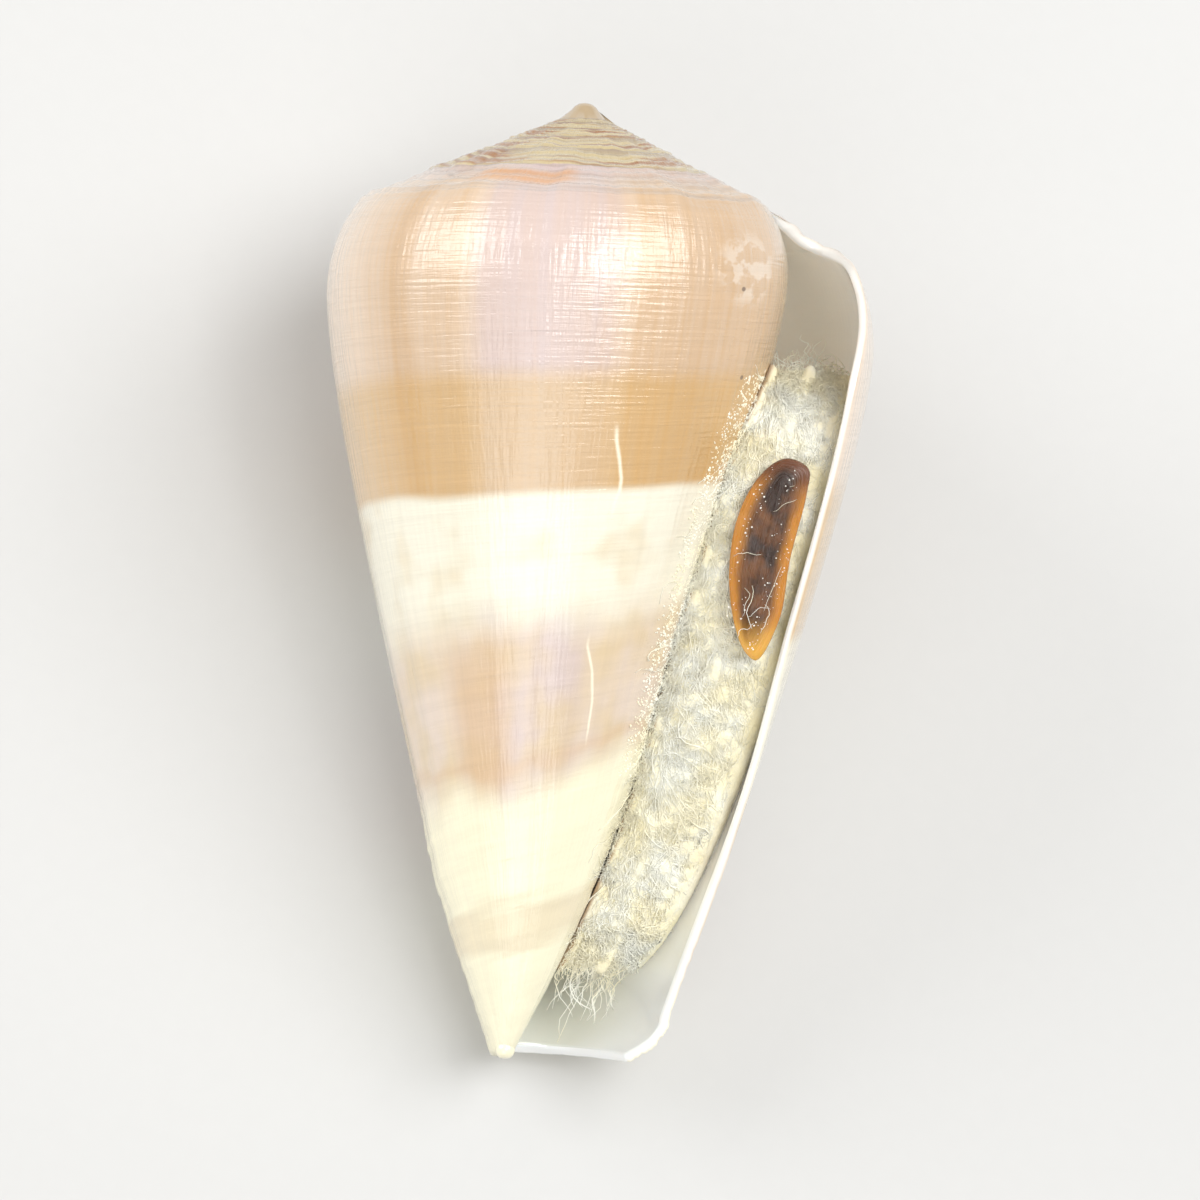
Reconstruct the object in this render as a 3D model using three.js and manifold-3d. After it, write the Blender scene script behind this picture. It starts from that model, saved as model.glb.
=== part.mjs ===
// A cone shell lying on its back with its aperture up, plugged with cotton wool that carries the
// animal's operculum. Three separate pieces: the shell, the cotton wad and the operculum.
//
// The shell is a helico-spiral. A lip outline of fixed shape turns about the coiling axis while it
// grows from the apex, and every earlier stage of the lip is the last one at a smaller scale.
// Turn 0 is where the last whorl passes the right side, and older shell has negative turns.
// Lengths are millimetres. "depth" is measured along the coiling axis from the tip of the apex.

import * as THREE from "three";
import { mergeVertices } from "three/addons/utils/BufferGeometryUtils.js";
import Module from "manifold-3d";

const wasm = await Module();
wasm.setup();

// Driving dimensions of the shell
const POLE_DEPTH = 0.31; // where the spiral starts, just under the rounded apex
const GROWTH = 0.355; // natural logarithm of the growth in size per turn
const GROWTH_LAG = 0.02; // the last whorl lags behind even growth by this much, half a turn back
const BASE_DEPTH = 52; // depth of the anterior margin
const TIP_EXTRA = 0.15; // how much further the tip of the columella reaches
const RINGS_PER_TURN = 32;
const SPIRE_TURNS = 6; // turns of the spiral, counted back from turn 0
const APEX = [[0.75, 0.42], [0.4, 0.08]]; // the rounded apex, as [radius, depth] rings

// The lip outline at turn 0, as [radius, depth below the pole]
const RAMP_HOLLOW = [12.1, 5.9];
const SHOULDER_START = [13.9, 6.42];
const SHOULDER_PULL = [[14.8, 6.85], [16.4, 9.4]];
const WIDEST = [16.4, 12.6];
const FLANK_PULL = [[16.4, 18.2], [10.8, 37.7]];
const CREASE = [7.45, 49.5]; // below this the outline turns in towards the columella
const SUTURE_ALONG = 0.1; // how far along the shoulder's curve the next whorl joins on
const COLUMELLA_TIP_RADIUS = 0.2;
const BASE_MARGIN_RADIUS = 5.5;
const AXIS_BEND = 1.3; // how far the tip of the columella bends to the left
const BEND_DEPTH = 38; // where the bend starts

// The lip edge, in degrees of turn past the right side
const LIP_AT_SUTURE = 6;
const LIP_AT_MIDDLE = 23;
const LIP_AT_BASE = -4;
const SINUS = 22; // the notch in the lip on the ramp
const SINUS_DEPTH = 6.6;

// Walls and cavity
const LIP_WALL = 0.42;
const BODY_WALL = 1.0;
const LIP_GLAZE = 0.06; // glaze on the earlier whorl at the aperture
const INNER_GLAZE = 0.35;
const HOLLOW_TURNS = 1.5; // how far the cavity is followed in from the aperture
const OPEN_BASE_TURNS = 0.25; // how far back the cavity runs out through the anterior end
const CAVITY_FLOOR = 45; // depth of the cavity's closed end, for a shell of full size

// Cotton wool and operculum
const GAP = 0.3; // clearance between the pieces
const COTTON_TOP = 14;
const COTTON_BOTTOM = 47;
const COTTON_BACK = -0.2;
const COTTON_BULGE = 0.45;
const OPERCULUM_THICKNESS = 0.45;
const OPERCULUM_MIDDLE = [11.7, -5.75, -24.3];
const OPERCULUM_TILT = 9.7; // its long axis leans towards the lip by this angle, degrees
const OPERCULUM_OUTLINE = [
  [-0.75, 5.44], [0.55, 5.15], [0.75, 3.9], [0.67, 0.2], [0.83, -3.1], [0.12, -5.48],
  [-0.55, -5.2], [-1.4, -4], [-2.35, -1.3], [-2.58, 1.9], [-1.85, 4.35],
];

// How the shell lies on its back
const AXIS_PITCH = 13; // the coiling axis rises towards the apex by this angle, degrees
const ROLL = -11; // turn about the coiling axis from the aperture facing straight up
const FLAT_DEPTH = 0.25; // wear on the back, wide enough to keep the aperture up

const { lerp, smoothstep, clamp, degToRad } = THREE.MathUtils;
const unit = (x) => clamp(x, 0, 1);

// Scale of the shell at a turn
function size(turn) {
  const lag = turn > -1 ? GROWTH_LAG * Math.sin(Math.PI * turn) ** 2 : 0;
  return Math.exp(GROWTH * turn - lag);
}

// The outline, from the suture round the shoulder and down to the crease
const vector = ([radius, depth]) => new THREE.Vector2(radius, depth);
const SHOULDER = new THREE.CubicBezierCurve(
  vector(SHOULDER_START), ...SHOULDER_PULL.map(vector), vector(WIDEST));
const FLANK = new THREE.CubicBezierCurve(
  vector(WIDEST), ...FLANK_PULL.map(vector), vector(CREASE));
const NEXT_SUTURE = SHOULDER.getPoint(SUTURE_ALONG);
const SUTURE = NEXT_SUTURE.clone().multiplyScalar(Math.exp(-GROWTH));
const RAMP = new THREE.QuadraticBezierCurve(SUTURE, vector(RAMP_HOLLOW), vector(SHOULDER_START));

function outlinePoints(rampSteps, shoulderSteps, flankSteps) {
  const shoulder = [];
  for (let i = 0; i <= shoulderSteps; i++) {
    shoulder.push(SHOULDER.getPoint(lerp(SUTURE_ALONG, 1, i / shoulderSteps)));
  }
  return [...RAMP.getPoints(rampSteps), ...shoulder, ...FLANK.getPoints(flankSteps).slice(1)];
}
const FINE_OUTLINE = outlinePoints(40, 60, 120);

// Radius of the outline at a depth below the pole, for a shell of full size
function outlineRadius(depth) {
  const last = FINE_OUTLINE.length - 1;
  if (depth <= FINE_OUTLINE[0].y) return FINE_OUTLINE[0].x;
  if (depth >= FINE_OUTLINE[last].y) return FINE_OUTLINE[last].x;
  const i = FINE_OUTLINE.findIndex((p) => p.y > depth);
  const [a, b] = [FINE_OUTLINE[i - 1], FINE_OUTLINE[i]];
  return lerp(a.x, b.x, (depth - a.y) / (b.y - a.y));
}

// Below the crease each stage runs on to the anterior margin, or to the columella's tip
const openness = (turn) => unit((turn + 0.75) / 0.75);
const endDepth = (turn) => BASE_DEPTH + TIP_EXTRA * (1 - openness(turn));
const endRadius = (turn) =>
  lerp(COLUMELLA_TIP_RADIUS, BASE_MARGIN_RADIUS, openness(turn) ** 2.6);
const tailPower = (turn) => 1 + 1.1 * unit(turn + 1) ** 2.4;
const creaseDepth = (turn) => POLE_DEPTH + size(turn) * CREASE[1];

// The axis bends to the left near the tip, and the lip side makes up for it
const bend = (depth) =>
  -AXIS_BEND * (Math.max(0, depth - BEND_DEPTH) / (BASE_DEPTH - BEND_DEPTH)) ** 2;
const unbend = (turn, depth) => -bend(depth) * smoothstep(turn, -0.5, 0);

function outerRadius(turn, depth) {
  const crease = creaseDepth(turn);
  const g = size(turn);
  if (depth <= crease) return g * outlineRadius((depth - POLE_DEPTH) / g) + unbend(turn, depth);
  const along = unit((depth - crease) / (endDepth(turn) - crease));
  const radius = lerp(endRadius(turn), g * CREASE[0], 1 - along ** tailPower(turn));
  return radius + unbend(turn, depth);
}

// The turn at which the lip ends, by depth: drawn back on the ramp and towards the base
function lipTurn(depth) {
  const upper = lerp(LIP_AT_SUTURE, LIP_AT_MIDDLE, smoothstep(depth, 6, 15));
  const edge = lerp(upper, LIP_AT_BASE, smoothstep(depth, 27, 50));
  return (edge - SINUS * Math.exp(-((depth - SINUS_DEPTH) ** 2))) / 360;
}

// The turn of a growth stage, by depth: the last stages follow the shape of the lip
const turnAt = (stage, depth) => stage + lipTurn(depth) * unit((stage + 0.2) / 0.2);

// A point of the shell: +X to the lip's side, +Y to the back, +Z to the apex
function place(turn, radius, depth) {
  const angle = -turn * 2 * Math.PI;
  return [radius * Math.cos(angle) + bend(depth), radius * Math.sin(angle), -depth];
}

// A closed solid from triangles of points, facing out
function solidFrom(triangles) {
  let geometry = new THREE.BufferGeometry();
  geometry.setAttribute("position", new THREE.Float32BufferAttribute(triangles.flat(2), 3));
  geometry = mergeVertices(geometry, 1e-4);
  const p = geometry.getAttribute("position").array;
  const index = geometry.index.array;
  let faces = [];
  for (let i = 0; i < index.length; i += 3) {
    const [a, b, c] = [index[i], index[i + 1], index[i + 2]];
    if (a !== b && b !== c && c !== a) faces.push([a, b, c]);
  }
  const corner = (i) => new THREE.Vector3(p[3 * i], p[3 * i + 1], p[3 * i + 2]);
  const volume = faces.reduce(
    (sum, [a, b, c]) => sum + corner(a).dot(corner(b).cross(corner(c))), 0);
  if (volume < 0) faces = faces.map(([a, b, c]) => [a, c, b]);
  return new wasm.Manifold(new wasm.Mesh({
    numProp: 3,
    vertProperties: new Float32Array(p),
    triVerts: new Uint32Array(faces.flat()),
  }));
}

// A block of nu by nv by nw cells bent into shape by point(u, v, w), each from 0 to 1
function block(nu, nv, nw, point) {
  const at = (i, j, k) => point(i / nu, j / nv, k / nw);
  const triangles = [];
  const side = (n, m, corner) => {
    for (let i = 0; i < n; i++) {
      for (let j = 0; j < m; j++) {
        const [a, b] = [corner(i, j), corner(i + 1, j)];
        const [c, d] = [corner(i + 1, j + 1), corner(i, j + 1)];
        triangles.push([a, b, c], [a, c, d]);
      }
    }
  };
  side(nv, nu, (j, i) => at(i, j, 0));
  side(nu, nv, (i, j) => at(i, j, nw));
  side(nw, nv, (k, j) => at(0, j, k));
  side(nv, nw, (j, k) => at(nu, j, k));
  side(nu, nw, (i, k) => at(i, 0, k));
  side(nw, nu, (k, i) => at(i, nv, k));
  return solidFrom(triangles);
}

// The solid inside the shell's outer surface. Each ring is one growth stage, as rows of points
// from the suture down. In the spire a ring stops where the next whorl joins on to it.
function bodySolid(rampSteps, shoulderSteps, flankSteps, tailSteps) {
  const rows = outlinePoints(rampSteps, shoulderSteps, flankSteps);
  const join = rampSteps + 1; // the row that carries the next suture
  const outlineDepth = (turn, y) => POLE_DEPTH + size(turn) * y;
  const outlinePoint = (stage, row) => {
    const turn = turnAt(stage, outlineDepth(stage, row.y));
    const depth = outlineDepth(turn, row.y);
    return place(turn, outerRadius(turn, depth), depth);
  };
  const tailPoint = (stage, along) => {
    const turn = turnAt(stage, BASE_DEPTH);
    const depth = lerp(creaseDepth(turn), endDepth(turn), along);
    return place(turnAt(stage, depth), outerRadius(turnAt(stage, depth), depth), depth);
  };
  const ring = (index) => {
    const stage = index / RINGS_PER_TURN;
    const whole = stage >= -1;
    const points = rows.slice(1, whole ? rows.length : join + 1)
      .map((row) => outlinePoint(stage, row));
    for (let k = 1; whole && k <= tailSteps; k++) points.push(tailPoint(stage, k / tailSteps));
    const depth = outlineDepth(stage - 1, NEXT_SUTURE.y);
    return [place(stage, outerRadius(stage - 1, depth), depth), ...points];
  };

  const first = -SPIRE_TURNS * RINGS_PER_TURN;
  const rings = [];
  for (let index = first; index <= 0; index++) rings.push(ring(index));
  const triangles = [];
  const quad = (a, b, c, d) => triangles.push([a, b, c], [a, c, d]);
  for (let i = 0; i + 1 < rings.length; i++) {
    const length = Math.min(rings[i].length, rings[i + 1].length);
    for (let k = 0; k + 1 < length; k++) {
      quad(rings[i][k], rings[i][k + 1], rings[i + 1][k + 1], rings[i + 1][k]);
    }
  }

  // The end of the last whorl, which the cavity opens into the aperture
  const lip = rings[rings.length - 1];
  const earlier = rings[rings.length - 1 - RINGS_PER_TURN];
  for (let k = 0; k + 1 < lip.length; k++) {
    const j = Math.max(k, join);
    quad(lip[k], lip[k + 1], earlier[Math.max(k + 1, join)], earlier[j]);
  }

  // The anterior end
  const bottom = place(0, 0, BASE_DEPTH + TIP_EXTRA);
  const margin = rings.slice(-1 - RINGS_PER_TURN).map((points) => points[points.length - 1]);
  margin.forEach((point, i) => {
    triangles.push([point, bottom, margin[(i + 1) % margin.length]]);
  });

  // The rounded apex, inside the first turn's suture
  let loop = rings.slice(0, RINGS_PER_TURN + 1).map((points) => points[0]);
  loop = [...loop, ...rings[0].slice(1, join).reverse()];
  const turnOf = ([x, y]) => -Math.atan2(y, x) / (2 * Math.PI);
  for (const [radius, depth] of APEX) {
    const inner = loop.map((point) => place(turnOf(point), radius, depth));
    loop.forEach((point, i) => {
      const next = (i + 1) % loop.length;
      quad(point, loop[next], inner[next], inner[i]);
    });
    loop = inner;
  }
  loop.forEach((point, i) => {
    triangles.push([point, loop[(i + 1) % loop.length], place(0, 0, 0)]);
  });
  return solidFrom(triangles);
}

// The space inside a whorl: across from the earlier whorl to the wall, and down from the suture
const inwardness = (turn) => unit((lipTurn(20) - turn) / 0.3);
const thinning = (depth) => 1 - 0.6 * smoothstep(depth, 40, 50);
const wallAt = (turn, depth) =>
  lerp(LIP_WALL, BODY_WALL, inwardness(turn) * thinning(depth)) * Math.min(1, size(turn) * 1.2);
const glazeAt = (turn, depth) =>
  lerp(LIP_GLAZE, INNER_GLAZE, inwardness(turn) * thinning(depth));

// The wall is measured square to the ramp above the shoulder, and to the curve of the base
function cavitySpan(turn, depth, margin) {
  const wall = wallAt(turn, depth) + margin;
  const g = size(turn);
  const up = 1 - smoothstep(depth / g, 8, 14);
  const down = smoothstep(depth, creaseDepth(turn) - 3, creaseDepth(turn) + 1);
  const outer = outerRadius(turn, depth + 0.8 * wall * (down - up)) - wall;
  return [outerRadius(turn - 1, depth) + glazeAt(turn, depth) + margin, outer];
}

function cavityTop(turn) {
  let depth = POLE_DEPTH + size(turn) * SUTURE.y;
  let span = cavitySpan(turn, depth, 0);
  while (span[1] - span[0] < 0.2) {
    depth += 0.05;
    span = cavitySpan(turn, depth, 0);
  }
  return depth;
}

function cavitySolid() {
  const rows = outlinePoints(2, 5, 6).slice(2).map((row) => row.y);
  const tail = [0.3, 0.65, 1].map((along) => lerp(CREASE[1], BASE_DEPTH + 2, along));
  const depths = [...rows, ...tail];
  const steps = Math.round(HOLLOW_TURNS * RINGS_PER_TURN);
  return block(1, depths.length, steps, (u, v, w) => {
    const stage = (2 - (1 - w) * steps) / RINGS_PER_TURN;
    const turn0 = turnAt(stage, 20);
    const open = smoothstep(turn0, -OPEN_BASE_TURNS - 0.05, -OPEN_BASE_TURNS);
    const bottom = lerp(POLE_DEPTH + size(turn0) * CAVITY_FLOOR, BASE_DEPTH + 2, open);
    const row = Math.round(v * depths.length);
    const g = size(turnAt(stage, row ? depths[row - 1] : 6));
    const top = cavityTop(turn0);
    let depth = top;
    if (row) depth = POLE_DEPTH + g * depths[row - 1] + 0.8 * wallAt(turn0, top);
    if (row > rows.length - 1) {
      const above = POLE_DEPTH + g * rows[rows.length - 2];
      depth = lerp(above, bottom, (row - rows.length + 1) / (tail.length + 1));
    }
    depth = clamp(depth, top + 0.02 * row, bottom);
    const turn = turnAt(stage, depth);
    const [inner, outer] = cavitySpan(turn, depth, 0);
    return place(turn, lerp(inner, Math.max(outer, inner + 0.1), u), depth);
  });
}

// The plug of cotton wool, with a gently bulging front between the columella and the lip
function cottonSolid() {
  return block(7, 20, 6, (u, v, w) => {
    const depth = lerp(COTTON_TOP, COTTON_BOTTOM, v);
    const taper = Math.abs(2 * v - 1) ** 6;
    const front = lipTurn(depth) + lerp(0.018, -0.012, u) - 0.05 * taper;
    const turn = lerp(COTTON_BACK, front, w);
    const [inner, outer] = cavitySpan(turn, depth, GAP);
    const edge = w ** 3 * Math.sin(Math.PI * u);
    const [x, y, z] = place(turn, lerp(inner, outer, u), depth);
    const lumps = 0.12 * Math.sin(1.9 * depth) + 0.1 * Math.sin(0.8 * depth + 5 * u);
    return [x, y - edge * (COTTON_BULGE * (1 - taper) + lumps), z];
  });
}

// The operculum, a thin plate with a rounded rim, in the shell's own frame
function operculumSolid() {
  const curve = new THREE.CatmullRomCurve3(
    OPERCULUM_OUTLINE.map(([x, y]) => new THREE.Vector3(x, y, 0)), true, "centripetal");
  const outline = curve.getPoints(36).slice(0, 36);
  const middle = new THREE.Vector3(-0.8, 0, 0);
  const half = OPERCULUM_THICKNESS / 2;
  // Each level is [inset towards the middle, height]
  const levels = [[1, -half], [0.35, -half], [0.06, -0.8 * half], [0, 0], [0.06, 0.7 * half],
    [0.35, 0.9 * half], [1, 0.6 * half]];
  const turned = new THREE.Matrix4().makeRotationZ(-degToRad(OPERCULUM_TILT));
  const facing = new THREE.Matrix4().makeRotationX(Math.PI / 2);
  const move = new THREE.Matrix4().makeTranslation(...OPERCULUM_MIDDLE);
  const matrix = move.multiply(facing).multiply(turned);
  const rings = levels.map(([inset, height]) => outline.map((point) => {
    const p = point.clone().lerp(middle, inset).setZ(height).applyMatrix4(matrix);
    return p.toArray();
  }));
  const triangles = [];
  for (let i = 0; i + 1 < rings.length; i++) {
    for (let k = 0; k < outline.length; k++) {
      const next = (k + 1) % outline.length;
      const [a, b, c, d] = [rings[i][k], rings[i][next], rings[i + 1][next], rings[i + 1][k]];
      triangles.push([a, b, c], [a, c, d]);
    }
  }
  return solidFrom(triangles);
}

function toMesh(name, solid, colour, roughness) {
  const { vertProperties, triVerts } = solid.getMesh();
  const geometry = new THREE.BufferGeometry();
  geometry.setAttribute("position", new THREE.BufferAttribute(vertProperties, 3));
  geometry.setIndex(new THREE.BufferAttribute(triVerts, 1));
  geometry.computeVertexNormals();
  const material = new THREE.MeshStandardMaterial({ color: colour, roughness, metalness: 0 });
  const mesh = new THREE.Mesh(geometry, material);
  mesh.name = name;
  return mesh;
}

const REST = new THREE.Matrix4().makeRotationX(degToRad(AXIS_PITCH - 90))
  .multiply(new THREE.Matrix4().makeRotationZ(degToRad(ROLL)));
const lay = (solid) => solid.transform(REST.elements);

const whole = lay(bodySolid(4, 5, 7, 4).subtract(cavitySolid()));
const ground = whole.boundingBox().min[2] + FLAT_DEPTH;
const shell = whole.trimByPlane([0, 0, 1], ground).simplify(0.02);
const cotton = lay(cottonSolid());
const operculum = lay(operculumSolid());

const group = new THREE.Group();
group.add(toMesh("shell", shell, 0xe8d8c8, 0.35));
group.add(toMesh("cotton", cotton, 0xece4cf, 0.95));
group.add(toMesh("operculum", operculum, 0x5a3314, 0.35));

const { min, max } = shell.boundingBox();
group.position.set(-(min[0] + max[0]) / 2, -(min[1] + max[1]) / 2, -ground);
export default group;
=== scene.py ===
import math

import bmesh
import bpy
import numpy as np
from mathutils import Matrix, Vector


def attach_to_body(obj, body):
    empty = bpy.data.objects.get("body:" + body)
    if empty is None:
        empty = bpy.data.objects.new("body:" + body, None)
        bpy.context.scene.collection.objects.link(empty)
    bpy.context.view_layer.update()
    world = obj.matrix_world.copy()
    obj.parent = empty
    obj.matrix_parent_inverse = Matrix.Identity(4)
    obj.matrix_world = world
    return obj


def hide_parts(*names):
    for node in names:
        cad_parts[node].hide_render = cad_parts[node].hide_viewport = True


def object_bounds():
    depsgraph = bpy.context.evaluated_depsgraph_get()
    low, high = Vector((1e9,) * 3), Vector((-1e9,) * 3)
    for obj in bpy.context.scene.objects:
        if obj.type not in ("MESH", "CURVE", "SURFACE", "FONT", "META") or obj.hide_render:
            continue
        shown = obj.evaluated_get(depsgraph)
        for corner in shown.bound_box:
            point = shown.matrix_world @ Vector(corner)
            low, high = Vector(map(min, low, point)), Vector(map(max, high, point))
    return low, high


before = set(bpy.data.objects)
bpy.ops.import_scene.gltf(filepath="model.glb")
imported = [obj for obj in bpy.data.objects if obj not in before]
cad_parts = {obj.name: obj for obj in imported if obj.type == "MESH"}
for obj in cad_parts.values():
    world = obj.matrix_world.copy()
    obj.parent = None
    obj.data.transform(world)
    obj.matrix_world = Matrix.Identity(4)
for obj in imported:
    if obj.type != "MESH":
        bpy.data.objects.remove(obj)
CAD_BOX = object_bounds()
MM = 0.001

# The shell's own frame, as in part.mjs: millimetres, +Z to the apex along the coiling axis,
# +X to the lip's side, -Y out of the aperture. It lies on its back in the part's frame.
AXIS_PITCH = 13
ROLL = -11
APEX_AT = (-1.4651, 25.3947, 17.1572)
LAY = (Matrix.Translation(Vector(APEX_AT))
       @ Matrix.Rotation(math.radians(AXIS_PITCH - 90), 4, "X")
       @ Matrix.Rotation(math.radians(ROLL), 4, "Z"))
LAY_NP = np.array(LAY)


def to_world(points):
    """Points of the shell's frame, in millimetres, as metres in the part's frame.

    Nothing goes past the CAD model's box. Its lower side is the worn flat that the shell rests on.
    """
    points = np.asarray(points, float)
    return np.clip((points @ LAY_NP[:3, :3].T + LAY_NP[:3, 3]) * MM, *CAD_BOX)


# The photograph and the camera
PHOTO = 1200  # pixels across
SCALE = 52 / 955  # millimetres to a pixel of the photograph
APEX_PIXEL = (585.5, 103)
LEAN = math.radians(3.3)  # the apex leans to the right of the photograph's upright
LENS = 200
SENSOR = 36


def middle_of_photo():
    """x and depth, in the shell's frame, of the photograph's middle."""
    dx, dy = ((PHOTO / 2 - pixel) * SCALE for pixel in APEX_PIXEL)
    return dx * math.cos(LEAN) + dy * math.sin(LEAN), dy * math.cos(LEAN) - dx * math.sin(LEAN)


def add_object(name, data):
    made = bpy.data.objects.new(name, data)
    bpy.context.scene.collection.objects.link(made)
    return made


def make_camera():
    data = bpy.data.cameras.new("camera")
    data.lens = LENS
    data.sensor_width = SENSOR
    data.clip_start = 0.01
    data.clip_end = 10
    camera = add_object("camera", data)
    bpy.context.scene.camera = camera
    x, depth = middle_of_photo()
    away = PHOTO * SCALE * LENS / SENSOR
    right = Vector((math.cos(LEAN), 0, math.sin(LEAN)))
    up = Vector((-math.sin(LEAN), 0, math.cos(LEAN)))
    back = Vector((0, -1, 0))
    turn = LAY.to_3x3() @ Matrix((right, up, back)).transposed()
    place = LAY @ (Vector((x, 0, -depth)) + back * away)
    camera.matrix_world = Matrix.Translation(place * MM) @ turn.to_4x4()


make_camera()

# The shell's form, from the same values as part.mjs
POLE_DEPTH = 0.31
GROWTH = 0.355
GROWTH_LAG = 0.02
BASE_DEPTH = 52.0
TIP_EXTRA = 0.15
SPIRE_TURNS = 6
APEX = ((0.75, 0.42), (0.62, 0.24), (0.4, 0.08), (0.2, 0.02))
RAMP_HOLLOW = (12.1, 5.9)
SHOULDER_START = (13.9, 6.42)
SHOULDER_PULL = ((14.8, 6.85), (16.4, 9.4))
WIDEST = (16.4, 12.6)
FLANK_PULL = ((16.4, 18.2), (10.8, 37.7))
CREASE = (7.45, 49.5)
SUTURE_ALONG = 0.1
COLUMELLA_TIP_RADIUS = 0.2
BASE_MARGIN_RADIUS = 5.5
AXIS_BEND = 1.3
BEND_DEPTH = 38
LIP_AT_SUTURE = 6
LIP_AT_MIDDLE = 23
LIP_AT_BASE = -4
SINUS = 22
SINUS_DEPTH = 6.6
LIP_WALL = 0.42
BODY_WALL = 1.0
INNER_GLAZE = 0.35
LIP_GLAZE = 0.06
GIRTH = 75.0  # millimetres to a turn, at a middle radius


def unit(x):
    return np.clip(x, 0.0, 1.0)


def smooth(x, low, high):
    t = unit((np.asarray(x, float) - low) / (high - low))
    return t * t * (3 - 2 * t)


def lerp(a, b, t):
    return a + (b - a) * t


def bezier(points, t):
    t = np.asarray(t, float)[:, None]
    pts = [np.asarray(p, float)[None, :] + 0 * t for p in points]
    while len(pts) > 1:
        pts = [lerp(a, b, t) for a, b in zip(pts, pts[1:])]
    return pts[0]


SHOULDER = (SHOULDER_START, *SHOULDER_PULL, WIDEST)
FLANK = (WIDEST, *FLANK_PULL, CREASE)
NEXT_SUTURE = bezier(SHOULDER, [SUTURE_ALONG])[0]
SUTURE = NEXT_SUTURE * math.exp(-GROWTH)
RAMP = (SUTURE, RAMP_HOLLOW, SHOULDER_START)


def outline(ramp, shoulder, flank):
    """The lip's outline from the suture to the crease, as rows of radius and depth."""
    return np.vstack([
        bezier(RAMP, np.linspace(0, 1, ramp + 1)),
        bezier(SHOULDER, np.linspace(SUTURE_ALONG, 1, shoulder + 1)),
        bezier(FLANK, np.linspace(0, 1, flank + 1)[1:]),
    ])


FINE = outline(60, 120, 240)


def size(turn):
    turn = np.asarray(turn, float)
    lag = np.where(turn > -1, GROWTH_LAG * np.sin(np.pi * turn) ** 2, 0)
    return np.exp(GROWTH * turn - lag)


def openness(turn):
    return unit((turn + 0.75) / 0.75)


def end_depth(turn):
    return BASE_DEPTH + TIP_EXTRA * (1 - openness(turn))


def crease_depth(turn):
    return POLE_DEPTH + size(turn) * CREASE[1]


def bend(depth):
    return -AXIS_BEND * (np.maximum(0, depth - BEND_DEPTH) / (BASE_DEPTH - BEND_DEPTH)) ** 2


def outer_radius(turn, depth):
    turn, depth = np.broadcast_arrays(np.asarray(turn, float), np.asarray(depth, float))
    g = size(turn)
    crease = crease_depth(turn)
    flank = g * np.interp((depth - POLE_DEPTH) / g, FINE[:, 1], FINE[:, 0])
    along = unit((depth - crease) / (end_depth(turn) - crease))
    end = lerp(COLUMELLA_TIP_RADIUS, BASE_MARGIN_RADIUS, openness(turn) ** 2.6)
    power = 1 + 1.1 * unit(turn + 1) ** 2.4
    tail = lerp(end, g * CREASE[0], 1 - along ** power)
    return np.where(depth <= crease, flank, tail) - bend(depth) * smooth(turn, -0.5, 0)


def lip_turn(depth):
    upper = lerp(LIP_AT_SUTURE, LIP_AT_MIDDLE, smooth(depth, 6, 15))
    edge = lerp(upper, LIP_AT_BASE, smooth(depth, 27, 50))
    return (edge - SINUS * np.exp(-((depth - SINUS_DEPTH) ** 2))) / 360


def thinner_at_base(depth):
    return 1 - 0.6 * smooth(depth, 40, 50)


def thickened(turn, depth):
    """How far a wall has thickened, from 0 at the lip to 1 deep inside."""
    return unit((lip_turn(20.0) - turn) / 0.3) * thinner_at_base(depth)


def wall_at(turn, depth):
    return lerp(LIP_WALL, BODY_WALL, thickened(turn, depth))


def turn_at(stage, depth):
    return stage + lip_turn(depth) * unit((stage + 0.2) / 0.2)


def place(turn, radius, depth):
    angle = -np.asarray(turn, float) * 2 * np.pi
    return np.stack([radius * np.cos(angle) + bend(depth), radius * np.sin(angle),
                     -np.asarray(depth, float) + 0 * angle], axis=-1)


LATTICE = 256


def lattice(x, y, seed):
    """Smooth value noise between -1 and 1."""
    table = np.random.default_rng(seed).uniform(-1, 1, (LATTICE, LATTICE))
    x, y = np.broadcast_arrays(np.asarray(x, float), np.asarray(y, float))
    xi, yi = np.floor(x).astype(int), np.floor(y).astype(int)

    def along_x(row):
        ends = [table[(xi + i) % LATTICE, (yi + row) % LATTICE] for i in (0, 1)]
        return lerp(*ends, smooth(x - xi, 0, 1))

    return lerp(along_x(0), along_x(1), smooth(y - yi, 0, 1))


def new_mesh(name, points, faces):
    """A mesh from points of the shell's frame."""
    mesh = bpy.data.meshes.new(name)
    mesh.from_pydata(to_world(points).tolist(), [], faces)
    mesh.shade_smooth()
    return mesh


def cells(grid):
    """The four corners of each cell of a grid, in order round it."""
    corners = [grid[:-1, :-1], grid[:-1, 1:], grid[1:, 1:], grid[1:, :-1]]
    return np.stack(corners, 2).reshape(-1, 4, *grid.shape[2:])


def attach(mesh, label, domain, values):
    layer = mesh.attributes.new(label, "FLOAT", domain)
    layer.data.foreach_set("value", np.ascontiguousarray(values, np.float32))


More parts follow.
